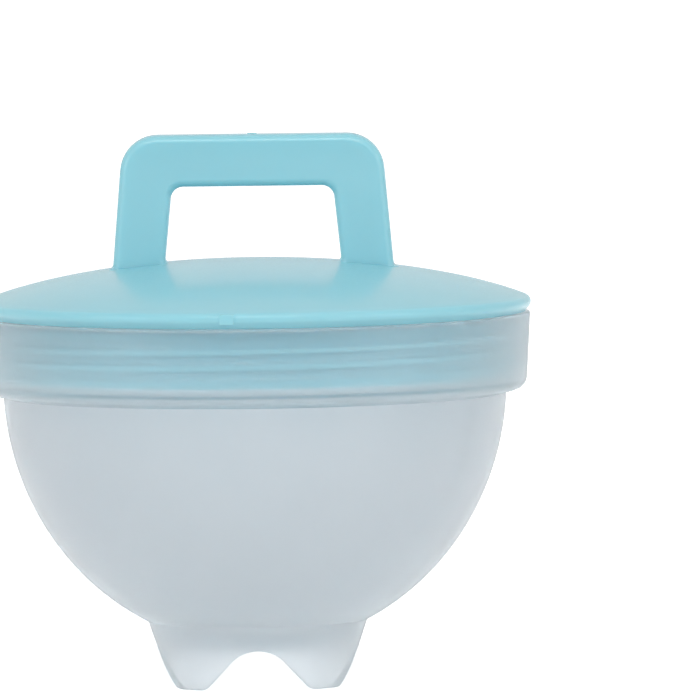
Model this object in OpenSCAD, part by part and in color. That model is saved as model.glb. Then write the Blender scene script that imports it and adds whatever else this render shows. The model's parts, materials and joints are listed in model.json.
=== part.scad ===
// Egg mold: a frosted cup on four scalloped feet, closed by a screw lid with an arch handle.
// Millimetres, +Z up. The origin is on the cup's axis, level with the tips of the feet.
// The handle lies along X, and the view from the front looks along +Y.

/* [Bowl] */
// Half the width of the bowl's outside at its widest level
bowl_half_w = 32.7; // [31:0.1:36]
// Depth of the bowl's outside, from its widest level down to its bottom
bowl_depth = 34.8; // [30:0.1:40]
// Wall thickness of the bowl
bowl_wall = 1.5; // [1.2:0.1:2.2]
// Height of the bowl's bottom above the tips of the feet
bowl_lift = 4.95; // [4.5:0.05:7]

/* [Collar] */
// Height of the collar
collar_h = 10.6; // [9.5:0.05:13]
// How far the collar's foot stands out from the bowl
collar_step = 2.65; // [2.4:0.05:3.6]
// How much wider the collar is at its rim than at its foot
collar_draft = 0.5; // [0.2:0.05:0.8]
// How far the collar's underside lies below the bowl's widest level
collar_drop = 2.1; // [1.2:0.1:2.4]
// Slope of the collar's underside, which rises outwards, in degrees from level
collar_under_slope = 16; // [0:1:25]
// Wall thickness of the collar at its rim
collar_wall = 1.8; // [1.5:0.05:2.1]
// Thickness of the ledge inside the collar's foot
ledge_t = 1.7; // [1.4:0.1:2.2]
// Radius of the collar's lower corner
collar_corner_r = 1.6; // [0.8:0.1:2]
// Radius of the collar's rim edges
rim_edge_r = 0.25; // [0.2:0.05:0.5]
// Width and height of the chamfer in the collar's mouth, which leads the plug in
mouth_chamfer = 0.5; // [0.3:0.05:0.8]

/* [Screw thread] */
// Distance from one turn of the thread to the next
thread_pitch = 2.05; // [1.9:0.05:2.3]
// Height of the thread's ridges above the wall
thread_depth = 0.55; // [0.4:0.05:0.6]
// Width of a ridge where it meets the wall
ridge_root_w = 1.15; // [1:0.05:1.3]
// Width of a ridge at its crest
ridge_crest_w = 0.6; // [0.4:0.05:0.8]
// Number of turns on the lid's plug, and of those inside the collar
thread_turns = 2.9; // [2:0.1:3]
// Clearance between the crests of the two threads
thread_gap = 0.2; // [0.15:0.05:0.3]
// Angle round the axis at which the threads begin, in degrees from the right
thread_start = -50; // [-180:5:180]

/* [Feet] */
// Radius of the foot ring at the tips of the feet
foot_r = 12.5; // [11.5:0.05:14]
// Draft of the foot ring's outside, in degrees
foot_draft = 7; // [3:0.5:9]
// Wall thickness of the foot ring
foot_wall = 1.45; // [1.2:0.05:1.8]
// How far the ring's outside flares on, from the level of the arches' tops up to the bowl
foot_flare = 1.1; // [0.2:0.1:2]
// Height of the arches between the feet
arch_h = 5.2; // [4.5:0.05:6]
// Radius at the top of an arch
arch_top_r = 4.7; // [3:0.1:4.9]
// Slope of an arch's sides, in degrees from level
arch_slope = 48; // [44:0.5:50]
// Radius of the corners of a foot's tip
tip_corner_r = 1.6; // [0.8:0.1:1.8]
// Radius of the edges round a foot's tip
tip_edge_r = 0.3; // [0.2:0.05:0.4]

/* [Lid] */
// Gap between the lid's seat and the collar's rim
seat_gap = 0.1; // [0.05:0.05:0.3]
// How far the lid's edge stands out past the collar's rim
lid_overhang = 0.1; // [0:0.05:0.6]
// Radius of the lid's rounded edge
lid_edge_r = 0.85; // [0.6:0.05:1.1]
// Height of that edge's middle above the lid's seat
lid_edge_h = 1.2; // [1.1:0.05:2]
// Slope of the face under that edge, in degrees from level
lid_under_slope = 50; // [40:1:70]
// Height of the dome's top above the lid's seat
dome_rise = 7.1; // [6:0.05:10]
// How far past the lid's edge the dome's oval would run out to its widest
dome_reach = 7.5; // [4:0.1:12]
// Wall thickness of the dome
dome_wall = 1.6; // [1.2:0.1:2]
// Depth of the plug below the lid's seat
plug_depth = 8; // [7.2:0.1:8.4]
// Wall thickness of the plug, between its thread and the hollow
plug_wall = 1.5; // [1.2:0.1:2]

/* [Handle] */
// Height of the handle above the dome's top
handle_h = 16.2; // [13:0.1:22]
// Width of the handle across its outer sides, taken up to the level of its top
handle_w = 33.5; // [30:0.5:38]
// Splay of the handle's outer sides, in degrees from upright
handle_splay = 5.1; // [3:0.1:7]
// Thickness of the handle's bar
bar_h = 6.7; // [5.5:0.1:8]
// Width of the window at its top
window_w = 20.9; // [18:0.1:22]
// Splay of the window's sides, in degrees from upright
window_splay = 5.6; // [4:0.1:8]
// Depth of the handle from front to back
handle_d = 5; // [4:0.1:7]
// Radius of the handle's outer corners
handle_corner_r = 4.9; // [4:0.1:6.5]
// Radius of the window's upper corners
window_corner_r = 1.6; // [1:0.1:3]
// Radius of the handle's long edges
handle_edge_r = 1.1; // [0.6:0.1:1.6]
// Radius of the fillet where the legs meet the dome
leg_fillet_r = 0.6; // [0.3:0.1:1]

/* [Moulding marks] */
// Width of the gate mark on the lid's front edge
gate_w = 1.8; // [1.2:0.1:3]
// Height of that gate mark
gate_h = 1.3; // [0.8:0.1:1.4]
// Distance of that gate mark from the middle, to the left
gate_left = 3.4; // [0:0.1:8]
// How far a gate mark stands out
gate_proud = 0.12; // [0.05:0.01:0.2]
// Diameter of the mark on top of the handle
top_mark_d = 1.2; // [0.8:0.1:2]

/* [Hidden] */

CUP_COLOR = "#C6D3DD";
LID_COLOR = "#93D5E2";
// Steps along a rounded edge, a long curve, one turn of a thread and a thread's run-out
EDGE_STEPS = 5;
CURVE_STEPS = 40;
TURN_STEPS = 60;
RUN_OUT_STEPS = 8;
ROUND_FN = 120;
// How deep a ridge is rooted in its wall, and how far a cut runs past a face
ROOT = 0.4;
PAST = 1;

bowl_mid_z = bowl_lift + bowl_depth;
collar_z = bowl_mid_z - collar_drop;
rim_z = collar_z + collar_h;
ledge_z = collar_z + ledge_t;
collar_foot_r = bowl_half_w + collar_step;
collar_rim_r = collar_foot_r + collar_draft;
bore_r = collar_rim_r - collar_wall;

cup_crest_r = bore_r - thread_depth;
plug_crest_r = cup_crest_r - thread_gap;
plug_r = plug_crest_r - thread_depth;
plug_bore_r = plug_r - plug_wall;

seat_z = rim_z + seat_gap;
lid_r = collar_rim_r + lid_overhang;
dome_top_z = seat_z + dome_rise;
plug_end_z = seat_z - plug_depth;

// The lid's rounded edge, and the dome's oval, which touches it where both have one slope
edge_mid = [lid_r - lid_edge_r, seat_z + lid_edge_h];
dome_half_w = lid_r + dome_reach;
dome_from = edge_point(touch_angle());
dome_depth = (dome_top_z - dome_from.y) / (1 - sqrt(1 - (dome_from.x / dome_half_w) ^ 2));

handle_top_z = dome_top_z + handle_h;
window_top_z = handle_top_z - bar_h;

// Points on an arc about mid, from angle a to angle b
function arc(mid, r, a, b, steps = EDGE_STEPS) =
  [for (i = [0:steps]) let (t = a + (b - a) * i / steps) mid + r * [cos(t), sin(t)]];

// Points on the bowl's outside or inside, from the axis to the widest level
function oval(half_w, depth) =
  [for (i = [0:CURVE_STEPS]) let (t = 90 * i / CURVE_STEPS)
    [half_w * sin(t), bowl_mid_z - depth * cos(t)]];

function mirrored(points) = [for (i = [len(points) - 1:-1:0]) [-points[i].x, points[i].y]];

// Height of the bowl's outside at a distance from the axis
function bowl_z(r) = bowl_mid_z - bowl_depth * sqrt(1 - (r / bowl_half_w) ^ 2);

// Point on the lid's rounded edge, at an angle from level
function edge_point(a) = edge_mid + lid_edge_r * [cos(a), sin(a)];

// Slope of the dome's oval if it ran down to a point of the lid's edge
function oval_slope(p) =
  let (level = sqrt(1 - (p.x / dome_half_w) ^ 2))
  (dome_top_z - p.y) * p.x / (dome_half_w ^ 2 * level * (1 - level));

// Angle on the lid's edge at which its slope is the oval's, found by halving
function touch_angle(low = 45, high = 89, tries = 24) =
  let (a = (low + high) / 2)
  tries == 0 ? a
  : oval_slope(edge_point(a)) > 1 / tan(a)
  ? touch_angle(low, a, tries - 1)
  : touch_angle(a, high, tries - 1);

// Height of the dome's outside at a distance from the axis
function dome_z(r) = dome_top_z - dome_depth * (1 - sqrt(1 - (r / dome_half_w) ^ 2));

// Closed solid through rings of equally many points
module loft(rings) {
  n = len(rings[0]);
  last = len(rings) - 1;
  sides = [for (k = [0:last - 1], i = [0:n - 1]) let (j = (i + 1) % n)
    [k * n + i, (k + 1) * n + i, (k + 1) * n + j, k * n + j]];
  first_face = [for (i = [0:n - 1]) i];
  last_face = [for (i = [n - 1:-1:0]) last * n + i];
  polyhedron(
    points = [for (ring = rings) each ring],
    faces = concat([first_face], sides, [last_face])
  );
}

// Right-hand ridge wound round Z. Its crest is on the wall's outside when crest_r is the larger
// radius, and both ends run out into the wall.
module thread_ridge(wall_r, crest_r, mid_z) {
  out = sign(crest_r - wall_r);
  root_r = wall_r - out * ROOT;
  steps = round(thread_turns * TURN_STEPS);
  function lift(i) = min(1, min(i, steps - i) / RUN_OUT_STEPS);
  function ring(i) =
    let (
      turn = i / TURN_STEPS,
      a = thread_start + 360 * turn,
      z = mid_z + thread_pitch * (turn - thread_turns / 2),
      r = wall_r + (crest_r - wall_r) * lift(i) - out * (1 - lift(i)) * ROOT / 2,
      profile = [
        [root_r, -ridge_root_w / 2],
        [r, -ridge_crest_w / 2],
        [r, ridge_crest_w / 2],
        [root_r, ridge_root_w / 2]
      ]
    )
    [for (p = profile) [p.x * cos(a), p.x * sin(a), z + p.y]];
  rings = [for (i = [0:steps]) ring(i)];
  loft(out > 0 ? [for (i = [steps:-1:0]) rings[i]] : rings);
}

// Outer radius of the foot ring at a height below the arches' tops
function ring_r(z) = foot_r + z * tan(foot_draft);

module foot_ring() {
  inner_r = foot_r - foot_wall;
  inner_top_r = inner_r + bowl_z(inner_r) * tan(foot_draft);
  outer_top_r = ring_r(arch_h) + foot_flare;
  rotate_extrude($fn = ROUND_FN) polygon(concat(
    arc([inner_r + tip_edge_r, tip_edge_r], tip_edge_r, 180, 270),
    arc([foot_r - tip_edge_r, tip_edge_r], tip_edge_r, -90, -foot_draft),
    [
      [ring_r(arch_h), arch_h],
      [outer_top_r, bowl_z(outer_top_r)],
      [outer_top_r, bowl_z(outer_top_r) + bowl_wall / 2],
      [inner_top_r, bowl_z(inner_top_r) + bowl_wall / 2]
    ]
  ));
}

// One straight tunnel through the foot ring, along Y
module arch() {
  top_mid = [0, arch_h - arch_top_r];
  side_from = top_mid + arch_top_r * [sin(arch_slope), cos(arch_slope)];
  side_foot_x = side_from.x + side_from.y / tan(arch_slope);
  corner = [side_foot_x + tip_corner_r * tan(arch_slope / 2), tip_corner_r];
  right = concat(
    arc(top_mid, arch_top_r, 90, 90 - arch_slope, 2 * EDGE_STEPS),
    arc(corner, tip_corner_r, 270 - arch_slope, 270),
    [[corner.x, -PAST]]
  );
  rotate([90, 0, 0])
    linear_extrude(3 * foot_r, center = true)
      polygon(concat(mirrored(right), right));
}

module feet() {
  difference() {
    foot_ring();
    arch();
    rotate(90) arch();
  }
}

module cup_outside() {
  rotate_extrude($fn = ROUND_FN) polygon(concat(
    oval(bowl_half_w, bowl_depth),
    [[0, bowl_mid_z]]
  ));
  lean = atan(collar_draft / collar_h);
  in_wall_r = bowl_half_w - bowl_wall / 2;
  foot_x = collar_foot_r - collar_corner_r;
  foot_rise = (foot_x - in_wall_r) * tan(collar_under_slope);
  foot_mid = [foot_x, collar_z + foot_rise + collar_corner_r / cos(collar_under_slope)];
  rim_mid = [collar_rim_r - rim_edge_r, rim_z - rim_edge_r];
  rotate_extrude($fn = ROUND_FN) polygon(concat(
    [[0, bowl_mid_z], [in_wall_r, collar_z]],
    arc(foot_mid, collar_corner_r, collar_under_slope - 90, -lean),
    arc(rim_mid, rim_edge_r, -lean, 90),
    [[0, rim_z]]
  ));
}

module cup_inside() {
  rotate_extrude($fn = ROUND_FN) polygon(concat(
    oval(bowl_half_w - bowl_wall, bowl_depth - bowl_wall),
    [[bowl_half_w - bowl_wall, ledge_z + PAST], [0, ledge_z + PAST]]
  ));
  rotate_extrude($fn = ROUND_FN) polygon([
    [0, ledge_z],
    [bore_r, ledge_z],
    [bore_r, rim_z - mouth_chamfer],
    [bore_r + mouth_chamfer + PAST, rim_z + PAST],
    [0, rim_z + PAST]
  ]);
}

module cup() {
  color(CUP_COLOR) {
    difference() {
      cup_outside();
      cup_inside();
    }
    feet();
    thread_ridge(bore_r, cup_crest_r, (seat_z + plug_end_z) / 2 - thread_pitch / 2);
  }
}

module lid_shell() {
  under = edge_point(lid_under_slope - 90);
  rotate_extrude($fn = ROUND_FN) polygon(concat(
    [[0, seat_z], [under.x - (under.y - seat_z) / tan(lid_under_slope), seat_z]],
    arc(edge_mid, lid_edge_r, lid_under_slope - 90, touch_angle(), 2 * EDGE_STEPS),
    [for (i = [1:CURVE_STEPS]) let (r = dome_from.x * (1 - i / CURVE_STEPS)) [r, dome_z(r)]]
  ));
  rotate_extrude($fn = ROUND_FN) polygon(concat(
    [[0, seat_z + PAST], [0, plug_end_z]],
    arc([plug_r - rim_edge_r, plug_end_z + rim_edge_r], rim_edge_r, -90, 0),
    [[plug_r, seat_z + PAST]]
  ));
}

module lid_hollow() {
  rotate_extrude($fn = ROUND_FN) polygon(concat(
    [[0, plug_end_z - PAST], [plug_bore_r, plug_end_z - PAST]],
    [for (i = [0:CURVE_STEPS]) let (r = plug_bore_r * (1 - i / CURVE_STEPS))
      [r, dome_z(r) - dome_wall]]
  ));
}

// Rounded rectangle across the handle, from a point of the window to a point of the outside
function handle_section(inner, outer) =
  let (
    along = (outer - inner) / norm(outer - inner),
    half = [norm(outer - inner) / 2, handle_d / 2],
    mid = (inner + outer) / 2,
    e = handle_edge_r,
    flat = concat(
      arc([half.x - e, half.y - e], e, 0, 90),
      arc([e - half.x, half.y - e], e, 90, 180),
      arc([e - half.x, e - half.y], e, 180, 270),
      arc([half.x - e, e - half.y], e, 270, 360)
    )
  )
  [for (p = flat) [mid.x + along.x * p.x, p.y, mid.y + along.y * p.x]];

function side_x(half_w, top_z, splay, z) = half_w + (top_z - z) * tan(splay);

// Middle of a corner's arc, which touches a level line at top_z and a splayed side
function corner_mid(half_w, top_z, splay, r) =
  [side_x(half_w, top_z, splay, top_z - r) - r / cos(splay), top_z - r];

module handle() {
  foot_x = side_x(handle_w / 2, handle_top_z, handle_splay, dome_top_z);
  window_x = side_x(window_w / 2, window_top_z, window_splay, dome_top_z);
  outer_mid = corner_mid(handle_w / 2, handle_top_z, handle_splay, handle_corner_r);
  inner_mid = corner_mid(window_w / 2, window_top_z, window_splay, window_corner_r);
  corner_steps = 2 * EDGE_STEPS;
  outer_corner = arc(outer_mid, handle_corner_r, handle_splay, 90, corner_steps);
  inner_corner = arc(inner_mid, window_corner_r, window_splay, 90, corner_steps);
  // Outer and inner points of the right leg, from inside the dome's wall up to the corner
  function leg(above, spread) = [
    [window_x - spread, dome_z(window_x) + above],
    [foot_x + spread, dome_z(foot_x) + above]
  ];
  leg_ends = concat(
    [leg(-dome_wall / 2, leg_fillet_r)],
    [for (a = [0:90 / EDGE_STEPS:90]) leg(leg_fillet_r * (1 - cos(a)), leg_fillet_r * (1 - sin(a)))]
  );
  corners = [for (i = [0:corner_steps]) [inner_corner[i], outer_corner[i]]];
  right = concat(leg_ends, corners);
  left = [for (i = [len(right) - 1:-1:0])
    [[-right[i][0].x, right[i][0].y], [-right[i][1].x, right[i][1].y]]];
  loft([for (pair = concat(right, left)) handle_section(pair[0], pair[1])]);
}

module gate_marks() {
  rotate(-asin(gate_left / lid_r))
    translate([-gate_w / 2, -lid_r - gate_proud, edge_mid.y - gate_h / 2])
      cube([gate_w, lid_edge_r + gate_proud, gate_h]);
  translate([0, 0, handle_top_z - PAST])
    cylinder(d = top_mark_d, h = PAST + gate_proud, $fn = ROUND_FN);
}

module lid() {
  color(LID_COLOR) {
    difference() {
      union() {
        lid_shell();
        handle();
        gate_marks();
      }
      lid_hollow();
    }
    thread_ridge(plug_r, plug_crest_r, (seat_z + plug_end_z) / 2);
  }
}

cup();
lid();
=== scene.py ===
# %% [markdown]
# # An egg mold in frosted and teal polypropylene
# The object is a small cup for cooking one egg, with a lid that screws into its collar. Both are injection
# mouldings. The shapes come ready made from the CAD model, at real size and in metres, so this script is
# about the things that CAD doesn't hold: smooth shading, the two plastics, the light and the camera.

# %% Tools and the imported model
import json
import math

import bmesh
import bpy
from mathutils import Euler, Matrix, Vector


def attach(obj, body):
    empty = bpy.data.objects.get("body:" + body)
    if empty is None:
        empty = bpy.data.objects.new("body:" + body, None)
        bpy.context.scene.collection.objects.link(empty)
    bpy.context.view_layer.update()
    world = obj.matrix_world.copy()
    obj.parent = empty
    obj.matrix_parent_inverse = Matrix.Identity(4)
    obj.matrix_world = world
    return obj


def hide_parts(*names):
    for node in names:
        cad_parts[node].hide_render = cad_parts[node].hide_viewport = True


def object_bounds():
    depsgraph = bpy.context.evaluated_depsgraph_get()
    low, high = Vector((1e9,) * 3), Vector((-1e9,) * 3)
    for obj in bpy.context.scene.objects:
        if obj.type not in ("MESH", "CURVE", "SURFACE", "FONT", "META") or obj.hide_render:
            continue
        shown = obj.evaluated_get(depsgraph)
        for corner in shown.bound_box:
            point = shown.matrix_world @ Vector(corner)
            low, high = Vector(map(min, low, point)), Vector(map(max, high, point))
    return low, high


MM = 0.001

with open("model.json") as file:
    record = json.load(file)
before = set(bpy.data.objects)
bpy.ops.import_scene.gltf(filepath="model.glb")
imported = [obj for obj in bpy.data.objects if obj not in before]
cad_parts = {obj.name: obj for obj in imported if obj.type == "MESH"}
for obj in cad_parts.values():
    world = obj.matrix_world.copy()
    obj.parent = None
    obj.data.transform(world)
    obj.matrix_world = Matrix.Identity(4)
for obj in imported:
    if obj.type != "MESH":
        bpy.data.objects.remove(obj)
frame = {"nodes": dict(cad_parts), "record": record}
cad_low, cad_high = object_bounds()
print("height of the object in mm:", round((cad_high.z - cad_low.z) / MM, 2))

# %% [markdown]
# ## Camera first
# The photograph was taken from far away with a long lens, because upright lines in it stay parallel. The lens
# looks down by about three degrees, which the curves of the collar show, and it is turned a little about its
# own axis. The object isn't in the middle of the picture: it stands to the left, and the picture's edge cuts
# off a little of the lid. A lens shift could place it there too, but here the whole camera is moved sideways,
# which keeps the view square to the object and is easier to follow.

# %% Camera at the photograph's viewing angle
PICTURE_SIDE = 700.0
PIXELS_PER_MM = 7.70
VIEW_DISTANCE = 3.0
VIEW_ELEVATION = math.radians(3.3)
VIEW_ROLL = math.radians(0.7)
AIM_RIGHT_OF_AXIS = 12.4 * MM
AIM_HEIGHT = 43.4 * MM
SENSOR = 36.0
FARTHEST_SEEN = 100.0


def add_camera():
    """A long-lens camera in front of the object, square to it, aimed a little to the right of its axis."""
    seen_width = PICTURE_SIDE / PIXELS_PER_MM * MM
    data = bpy.data.cameras.new("camera")
    data.sensor_width = SENSOR
    data.lens = SENSOR * VIEW_DISTANCE / seen_width
    data.clip_end = FARTHEST_SEEN
    camera = bpy.data.objects.new("camera", data)
    bpy.context.scene.collection.objects.link(camera)
    aim = Vector((AIM_RIGHT_OF_AXIS, 0.0, AIM_HEIGHT))
    away = Vector((0.0, -math.cos(VIEW_ELEVATION), math.sin(VIEW_ELEVATION)))
    camera.location = aim + VIEW_DISTANCE * away
    level = Euler((math.pi / 2 - VIEW_ELEVATION, 0.0, 0.0)).to_matrix()
    rolled = level @ Matrix.Rotation(-VIEW_ROLL, 3, "Z")
    camera.rotation_euler = rolled.to_euler()
    bpy.context.scene.camera = camera
    return camera


camera = add_camera()
print("lens in mm:", round(camera.data.lens, 1))

# %% [markdown]
# ## Colours and nodes
# Colours are written as the hex values that a colour picker shows. The renderer counts in linear light, so
# one function turns them over. A material in Blender is a tree of nodes. They could be added by hand in the
# shader editor, but in a script one small function that adds a node with its settings and links is enough.


# %% Helpers for colours and nodes
def linear(hex_colour):
    """sRGB hex such as #94D6E2 as linear red, green, blue and alpha."""
    parts = [int(hex_colour[i : i + 2], 16) / 255 for i in (1, 3, 5)]
    return [p / 12.92 if p <= 0.04045 else ((p + 0.055) / 1.055) ** 2.4 for p in parts] + [1.0]


def add_node(tree, kind, settings=None, links=None):
    """Adds one node. settings are its properties or input sockets, links are inputs and what feeds them."""
    node = tree.nodes.new(kind)
    for name, value in (settings or {}).items():
        if name in node.inputs:
            node.inputs[name].default_value = value
        else:
            setattr(node, name, value)
    for name, source in (links or {}).items():
        tree.links.new(source, node.inputs[name])
    return node


def new_material(name):
    """An empty material. Returns it with its node tree."""
    material = bpy.data.materials.new(name)
    material.use_nodes = True
    material.node_tree.nodes.clear()
    return material, material.node_tree


print("mid grey #808080 in linear light:", round(linear("#808080")[0], 3))

# %% [markdown]
# ## Kinds of rays
# The renderer follows rays: from the camera, mirrored off a glossy surface, through a clear one, and from a
# point towards a lamp to see whether anything is in the way. The Light Path node tells which kind a ray is.
# Three things below need it: the frosted walls, the floor and the room. So one function joins the kinds that
# are asked for into a single value.


# %% Telling rays apart
def one_for_rays(tree, names):
    """An output that is 1 for rays of the named kinds, such as Is Camera Ray, and 0 for all others."""
    path = add_node(tree, "ShaderNodeLightPath")
    result = path.outputs[names[0]]
    for name in names[1:]:
        either = add_node(tree, "ShaderNodeMath", {"operation": "MAXIMUM"})
        tree.links.new(result, either.inputs[0])
        tree.links.new(path.outputs[name], either.inputs[1])
        result = either.outputs["Value"]
    return result


# %% [markdown]
# ## The teal lid
# The lid is polypropylene, a slightly waxy plastic with colour mixed in, moulded in a polished but not mirror
# bright steel mould. It has a soft sheen: highlights are broad, and at a flat angle the dome mirrors the
# white room. The index of refraction of polypropylene is 1.49. A little light gets into the plastic and comes
# out again, so thin edges glow. Subsurface scattering gives that. Green and blue light travel farther in teal
# plastic than red, which its radius says.
#
# Two patterns keep the colour from looking painted on. The mixing of the colour leaves clouds about 9 mm
# across, one shade apart. The grain of the mould is a few hundredths of a millimetre, too fine to show in the
# render, so it is drawn at about a third of a millimetre, very faint, and varies the gloss.

# %% Teal polypropylene
TEAL = "#99D3DE"
TEAL_DEEP = "#93CFDB"
PP_IOR = 1.49
CLOUD_SIZE = 9 * MM
GRAIN_SIZE = 0.35 * MM
GRAIN_HEIGHT = 0.02 * MM
SATIN_ROUGHNESS = (0.22, 0.27)
GLOW_DEPTH = 1.2 * MM
# Nearly all of a noise pattern lies between these two values.
NOISE_LOW = 0.3
NOISE_HIGH = 0.7
# A Mix node has a set of sockets for each kind of data, all named alike. These are the ones for colours.
COLOUR_A = 6
COLOUR_B = 7
COLOUR_RESULT = 2


def teal_polypropylene():
    """Satin moulded polypropylene, coloured through."""
    material, tree = new_material("teal_polypropylene")
    place = add_node(tree, "ShaderNodeTexCoord").outputs["Object"]
    cloud = add_node(
        tree,
        "ShaderNodeTexNoise",
        {"Scale": 1 / CLOUD_SIZE, "Detail": 2.0, "Roughness": 0.5},
        {"Vector": place},
    ).outputs["Fac"]
    colour = add_node(tree, "ShaderNodeMix", {"data_type": "RGBA"}, {"Factor": cloud})
    colour.inputs[COLOUR_A].default_value = linear(TEAL)
    colour.inputs[COLOUR_B].default_value = linear(TEAL_DEEP)
    grain = add_node(
        tree,
        "ShaderNodeTexNoise",
        {"Scale": 1 / GRAIN_SIZE, "Detail": 2.0, "Roughness": 0.6},
        {"Vector": place},
    ).outputs["Fac"]
    smoothest, roughest = SATIN_ROUGHNESS
    rough = add_node(
        tree,
        "ShaderNodeMapRange",
        {"From Min": NOISE_LOW, "From Max": NOISE_HIGH, "To Min": smoothest, "To Max": roughest},
        {"Value": grain},
    ).outputs["Result"]
    bump = add_node(
        tree,
        "ShaderNodeBump",
        {"Strength": 0.06, "Distance": GRAIN_HEIGHT},
        {"Height": grain},
    ).outputs["Normal"]
    shader = add_node(
        tree,
        "ShaderNodeBsdfPrincipled",
        {
            "IOR": PP_IOR,
            "Subsurface Weight": 0.6,
            "Subsurface Radius": (1.0, 1.4, 1.5),
            "Subsurface Scale": GLOW_DEPTH,
        },
        {"Base Color": colour.outputs[COLOUR_RESULT], "Roughness": rough, "Normal": bump},
    )
    add_node(tree, "ShaderNodeOutputMaterial", links={"Surface": shader.outputs["BSDF"]})
    print(material.name, "has", len(tree.nodes), "nodes")
    return material


teal = teal_polypropylene()

# %% [markdown]
# ## Light that goes straight through
# A renderer takes a clear wall for an opaque one when it asks whether a point is lit by a lamp, so the inside
# of a frosted cup comes out too dark. Bending every ray properly would need far more samples. Instead, most
# of a lamp's light is let straight through the wall, and so is a smaller share of the light that is mirrored
# to and fro inside it. The camera's own rays are never let through, so the cup keeps its frosted look.

# %% The share of light that passes a wall
LAMP_SHARE = 0.85
INNER_SHARE = 0.22


def share_let_through(tree):
    """An output with the share of a ray that passes the wall unbent, by the kind of ray."""
    lamps = add_node(tree, "ShaderNodeMath", {"operation": "MULTIPLY"})
    tree.links.new(one_for_rays(tree, ["Is Shadow Ray", "Is Diffuse Ray"]), lamps.inputs[0])
    lamps.inputs[1].default_value = LAMP_SHARE
    inner = add_node(tree, "ShaderNodeMath", {"operation": "MULTIPLY"})
    tree.links.new(one_for_rays(tree, ["Is Glossy Ray"]), inner.inputs[0])
    inner.inputs[1].default_value = INNER_SHARE
    share = add_node(tree, "ShaderNodeMath", {"operation": "MAXIMUM"})
    tree.links.new(lamps.outputs["Value"], share.inputs[0])
    tree.links.new(inner.outputs["Value"], share.inputs[1])
    return share.outputs["Value"]


# %% [markdown]
# ## The frosted cup
# The cup is polypropylene without colour. It scatters light inside and its mould was blasted to a fine matt
# grain, so it looks like frosted glass: what touches it from behind shows, and what is far behind melts into
# an even pale grey. Rough transmission gives the melting, and a share of scattering gives the milky body.
# There are two grades of the one plastic, told apart by their roughness. The photograph shows only the
# outside. That the inside of the bowl is rougher is a guess: the core of a mould is often blasted coarser.
#
# The grain is far too fine to show in the render, and drawn coarser it only makes the cup look dirty. So the
# pattern is a slow unevenness, such as plastic leaves where it flows into a mould. It is drawn about 8 mm
# across, in the gloss and in the surface.

# %% Frosted polypropylene
FROST = "#E3E8EC"
FLOW_SIZE = 8 * MM
FLOW_HEIGHT = 0.1 * MM
MILK_DEPTH = 1.5 * MM
OUTSIDE_ROUGHNESS = (0.36, 0.40)
INSIDE_ROUGHNESS = (0.60, 0.66)


def frosted_polypropylene(name, roughness):
    """Uncoloured polypropylene, matt and translucent, with its roughness between two values."""
    material, tree = new_material(name)
    place = add_node(tree, "ShaderNodeTexCoord").outputs["Object"]
    flow = add_node(
        tree,
        "ShaderNodeTexNoise",
        {"Scale": 1 / FLOW_SIZE, "Detail": 1.0, "Roughness": 0.4},
        {"Vector": place},
    ).outputs["Fac"]
    smoothest, roughest = roughness
    rough = add_node(
        tree,
        "ShaderNodeMapRange",
        {"From Min": NOISE_LOW, "From Max": NOISE_HIGH, "To Min": smoothest, "To Max": roughest},
        {"Value": flow},
    ).outputs["Result"]
    bump = add_node(
        tree,
        "ShaderNodeBump",
        {"Strength": 0.3, "Distance": FLOW_HEIGHT},
        {"Height": flow},
    ).outputs["Normal"]
    shader = add_node(
        tree,
        "ShaderNodeBsdfPrincipled",
        {
            "Base Color": linear(FROST),
            "IOR": PP_IOR,
            "Transmission Weight": 0.94,
            "Subsurface Weight": 0.6,
            "Subsurface Radius": (1.0, 1.0, 1.0),
            "Subsurface Scale": MILK_DEPTH,
        },
        {"Roughness": rough, "Normal": bump},
    )
    clear = add_node(tree, "ShaderNodeBsdfTransparent")
    both = add_node(tree, "ShaderNodeMixShader", links={"Fac": share_let_through(tree)})
    tree.links.new(shader.outputs["BSDF"], both.inputs[1])
    tree.links.new(clear.outputs["BSDF"], both.inputs[2])
    add_node(tree, "ShaderNodeOutputMaterial", links={"Surface": both.outputs["Shader"]})
    print(material.name, "has", len(tree.nodes), "nodes")
    return material


frosted_outside = frosted_polypropylene("frosted_polypropylene", OUTSIDE_ROUGHNESS)
frosted_inside = frosted_polypropylene("blasted_polypropylene", INSIDE_ROUGHNESS)

# %% [markdown]
# ## Smooth skins over the CAD solids
# The CAD model arrives as triangles, face by face, and each face keeps corners of its own. Shaded like that,
# the dome would show rings. A finer mesh would only make the rings narrower. Instead, a copy of each solid
# has those corners joined, so that the shading runs on over gentle bends, and edges sharper than thirty
# degrees stay crisp. The copy stands for the solid and rides with its body.

# %% A smooth copy of each moulding
SAME_CORNER = 0.002 * MM
CRISP_ANGLE = math.radians(30)


def frame_body(node):
    """Name of the body that a CAD node belongs to."""
    bodies = frame["record"]["behaviour"]["bodies"]
    return next(body for body, nodes in bodies.items() if node in nodes)


def smooth_copy(node, name, material):
    """A copy of a CAD node with joined corners and smooth shading, which replaces the node."""
    mesh = frame["nodes"][node].data.copy()
    form = bmesh.new()
    form.from_mesh(mesh)
    bmesh.ops.remove_doubles(form, verts=form.verts, dist=SAME_CORNER)
    for face in form.faces:
        face.smooth = True
    for edge in form.edges:
        edge.smooth = len(edge.link_faces) == 2 and edge.calc_face_angle(0.0) < CRISP_ANGLE
    form.to_mesh(mesh)
    form.free()
    mesh.materials.clear()
    mesh.materials.append(material)
    for polygon in mesh.polygons:
        polygon.material_index = 0
    piece = bpy.data.objects.new(name, mesh)
    bpy.context.scene.collection.objects.link(piece)
    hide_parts(node)
    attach(piece, frame_body(node))
    print(name, "has", len(mesh.polygons), "faces")
    return piece


cup = smooth_copy("cup", "frosted_cup", frosted_outside)
lid = smooth_copy("lid", "teal_lid", teal)

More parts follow.
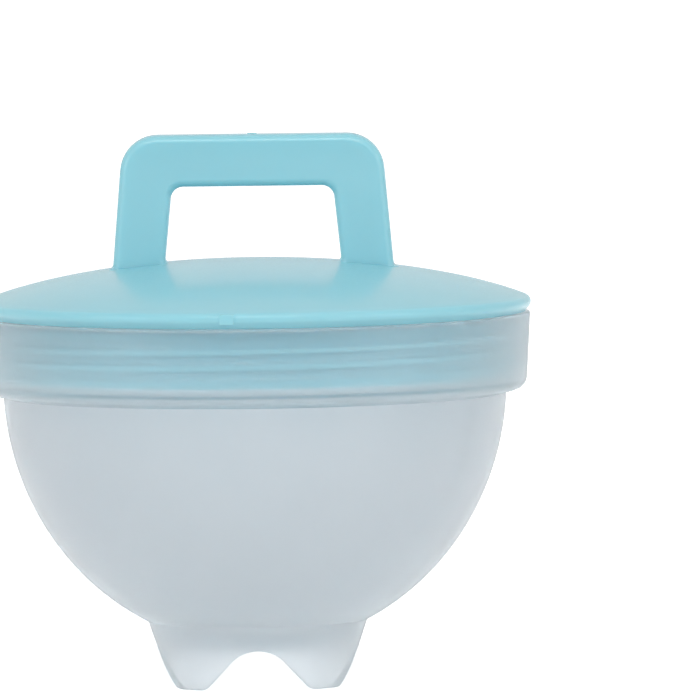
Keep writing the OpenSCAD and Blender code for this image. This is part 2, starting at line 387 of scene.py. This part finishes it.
# %% [markdown]
# ## The inside of the bowl
# The cup is one mesh, so its inside gets its own grade of plastic face by face. A face belongs to the inside
# if it lies at the height of the bowl and looks towards the middle of its mouth.

# %% A rougher finish inside the bowl
BOWL_BOTTOM = 8 * MM
BOWL_TOP = 38 * MM


def roughen_inside(cup, material):
    """Gives the faces inside the bowl a second material."""
    cup.data.materials.append(material)
    mouth_middle = Vector((0.0, 0.0, cad_low.z + BOWL_TOP))
    changed = 0
    for polygon in cup.data.polygons:
        height = polygon.center.z - cad_low.z
        looks_inwards = polygon.normal.dot(mouth_middle - polygon.center) > 0
        if BOWL_BOTTOM < height < BOWL_TOP and looks_inwards:
            polygon.material_index = 1
            changed += 1
    print("faces inside the bowl:", changed)


roughen_inside(cup, frosted_inside)

# %% [markdown]
# ## Floor
# The photograph has a plain white ground. The floor is pale and matt and takes the object's soft shadow.
# Lamps strong enough to make it white would burn out the pale cup. So a small share of its own light, seen
# only by the camera, in mirror images and through the cup, lifts it to white.

# %% Matt white floor
FLOOR_SIDE = 40.0
FLOOR_WHITE = "#F2F3F4"
FLOOR_LIFT = 0.55


def white_floor_paint():
    """Matt white paint that looks a little brighter than the lamps make it."""
    material, tree = new_material("matt_white_paint")
    matt = add_node(tree, "ShaderNodeBsdfDiffuse", {"Color": linear(FLOOR_WHITE)})
    seen = one_for_rays(tree, ["Is Camera Ray", "Is Glossy Ray", "Is Transmission Ray"])
    lift = add_node(tree, "ShaderNodeMath", {"operation": "MULTIPLY"})
    tree.links.new(seen, lift.inputs[0])
    lift.inputs[1].default_value = FLOOR_LIFT
    glow = add_node(tree, "ShaderNodeEmission", links={"Strength": lift.outputs["Value"]})
    both = add_node(tree, "ShaderNodeAddShader")
    tree.links.new(matt.outputs["BSDF"], both.inputs[0])
    tree.links.new(glow.outputs["Emission"], both.inputs[1])
    add_node(tree, "ShaderNodeOutputMaterial", links={"Surface": both.outputs["Shader"]})
    return material


def add_floor():
    """One large square at the height on which the feet stand."""
    mesh = bpy.data.meshes.new("floor")
    half = FLOOR_SIDE / 2
    corners = [(-half, -half, 0), (half, -half, 0), (half, half, 0), (-half, half, 0)]
    mesh.from_pydata(corners, [], [(0, 1, 2, 3)])
    mesh.materials.append(white_floor_paint())
    floor = bpy.data.objects.new("floor", mesh)
    floor.location.z = cad_low.z
    bpy.context.scene.collection.objects.link(floor)
    print("side of the floor in m:", FLOOR_SIDE)


add_floor()

# %% [markdown]
# ## Room
# The world is what lies beyond every object. It looks white to the camera and through the cup, but lights the
# object at a lower level, for the same reason as the floor. It is dim on the side where the camera stands, as
# a studio often is, and that gives the shiny front faces their depth. The direction of a ray has a Y part,
# which is -1 straight to the front, so a range of Y sets where the dim part ends.

# %% White room, dim in front
ROOM_LEVEL = 0.76
DIM_SIDE_LEVEL = 0.3
DIM_UP_TO_Y = -0.9
BRIGHT_FROM_Y = -0.5


def white_room():
    """A world that looks white, lights the object at a lower level, and is dim on the front side."""
    world = bpy.data.worlds.new("white_room")
    world.use_nodes = True
    tree = world.node_tree
    tree.nodes.clear()
    direction = add_node(tree, "ShaderNodeTexCoord").outputs["Generated"]
    back_to_front = add_node(tree, "ShaderNodeSeparateXYZ", links={"Vector": direction}).outputs["Y"]
    side = add_node(
        tree,
        "ShaderNodeMapRange",
        {
            "From Min": DIM_UP_TO_Y,
            "From Max": BRIGHT_FROM_Y,
            "To Min": DIM_SIDE_LEVEL,
            "To Max": 1.0,
        },
        {"Value": back_to_front},
    ).outputs["Result"]
    light = add_node(
        tree,
        "ShaderNodeMapRange",
        {"To Min": ROOM_LEVEL, "To Max": 1.0},
        {"Value": one_for_rays(tree, ["Is Glossy Ray"])},
    ).outputs["Result"]
    lit = add_node(tree, "ShaderNodeMath", {"operation": "MULTIPLY"})
    tree.links.new(side, lit.inputs[0])
    tree.links.new(light, lit.inputs[1])
    level = add_node(tree, "ShaderNodeMath", {"operation": "MAXIMUM"})
    tree.links.new(lit.outputs["Value"], level.inputs[0])
    tree.links.new(one_for_rays(tree, ["Is Camera Ray", "Is Transmission Ray"]), level.inputs[1])
    sky = add_node(tree, "ShaderNodeBackground", links={"Strength": level.outputs["Value"]})
    add_node(tree, "ShaderNodeOutputWorld", links={"Surface": sky.outputs["Background"]})
    bpy.context.scene.world = world
    print("the room lights the object at", ROOM_LEVEL, "of white")


white_room()

# %% [markdown]
# ## Lamps
# Each lamp is a wide soft panel, turned towards the middle of the object. The strongest hangs high in front
# and lights the dome and the handle. Two weaker ones, left and right in front, put a sheen on the sides of
# the collar. They are large on purpose: a small strong lamp shines through the frosted walls and burns a
# white patch into the far side of the bowl, which shows as soon as the camera walks round the object.

# %% Soft panels
LAMPS = {
    "left_panel": {"place": (-2.8, -2.0, 0.9), "width": 2.2, "height": 1.6, "power": 20.0},
    "right_panel": {"place": (2.8, -2.0, 0.9), "width": 2.2, "height": 1.6, "power": 20.0},
    "high_panel": {"place": (0.0, -2.4, 2.2), "width": 2.4, "height": 1.0, "power": 38.0},
}


def add_lamp(name, place, width, height, power):
    """A soft panel that looks at the middle of the object."""
    data = bpy.data.lights.new(name, "AREA")
    data.shape = "RECTANGLE"
    data.size = width
    data.size_y = height
    data.energy = power
    lamp = bpy.data.objects.new(name, data)
    lamp.location = place
    middle = (Vector(cad_low) + Vector(cad_high)) / 2
    lamp.rotation_euler = (middle - lamp.location).to_track_quat("-Z", "Y").to_euler()
    bpy.context.scene.collection.objects.link(lamp)
    print(name, "gives", round(power / (width * height), 1), "watts per square metre")


for lamp_name, lamp_settings in LAMPS.items():
    add_lamp(lamp_name, **lamp_settings)

# %% [markdown]
# ## How the picture is shown
# Blender can bend bright tones like film does. The Standard view leaves them alone, so that a colour comes
# out about as it is written here.

# %% Plain view
bpy.context.scene.view_settings.view_transform = "Standard"
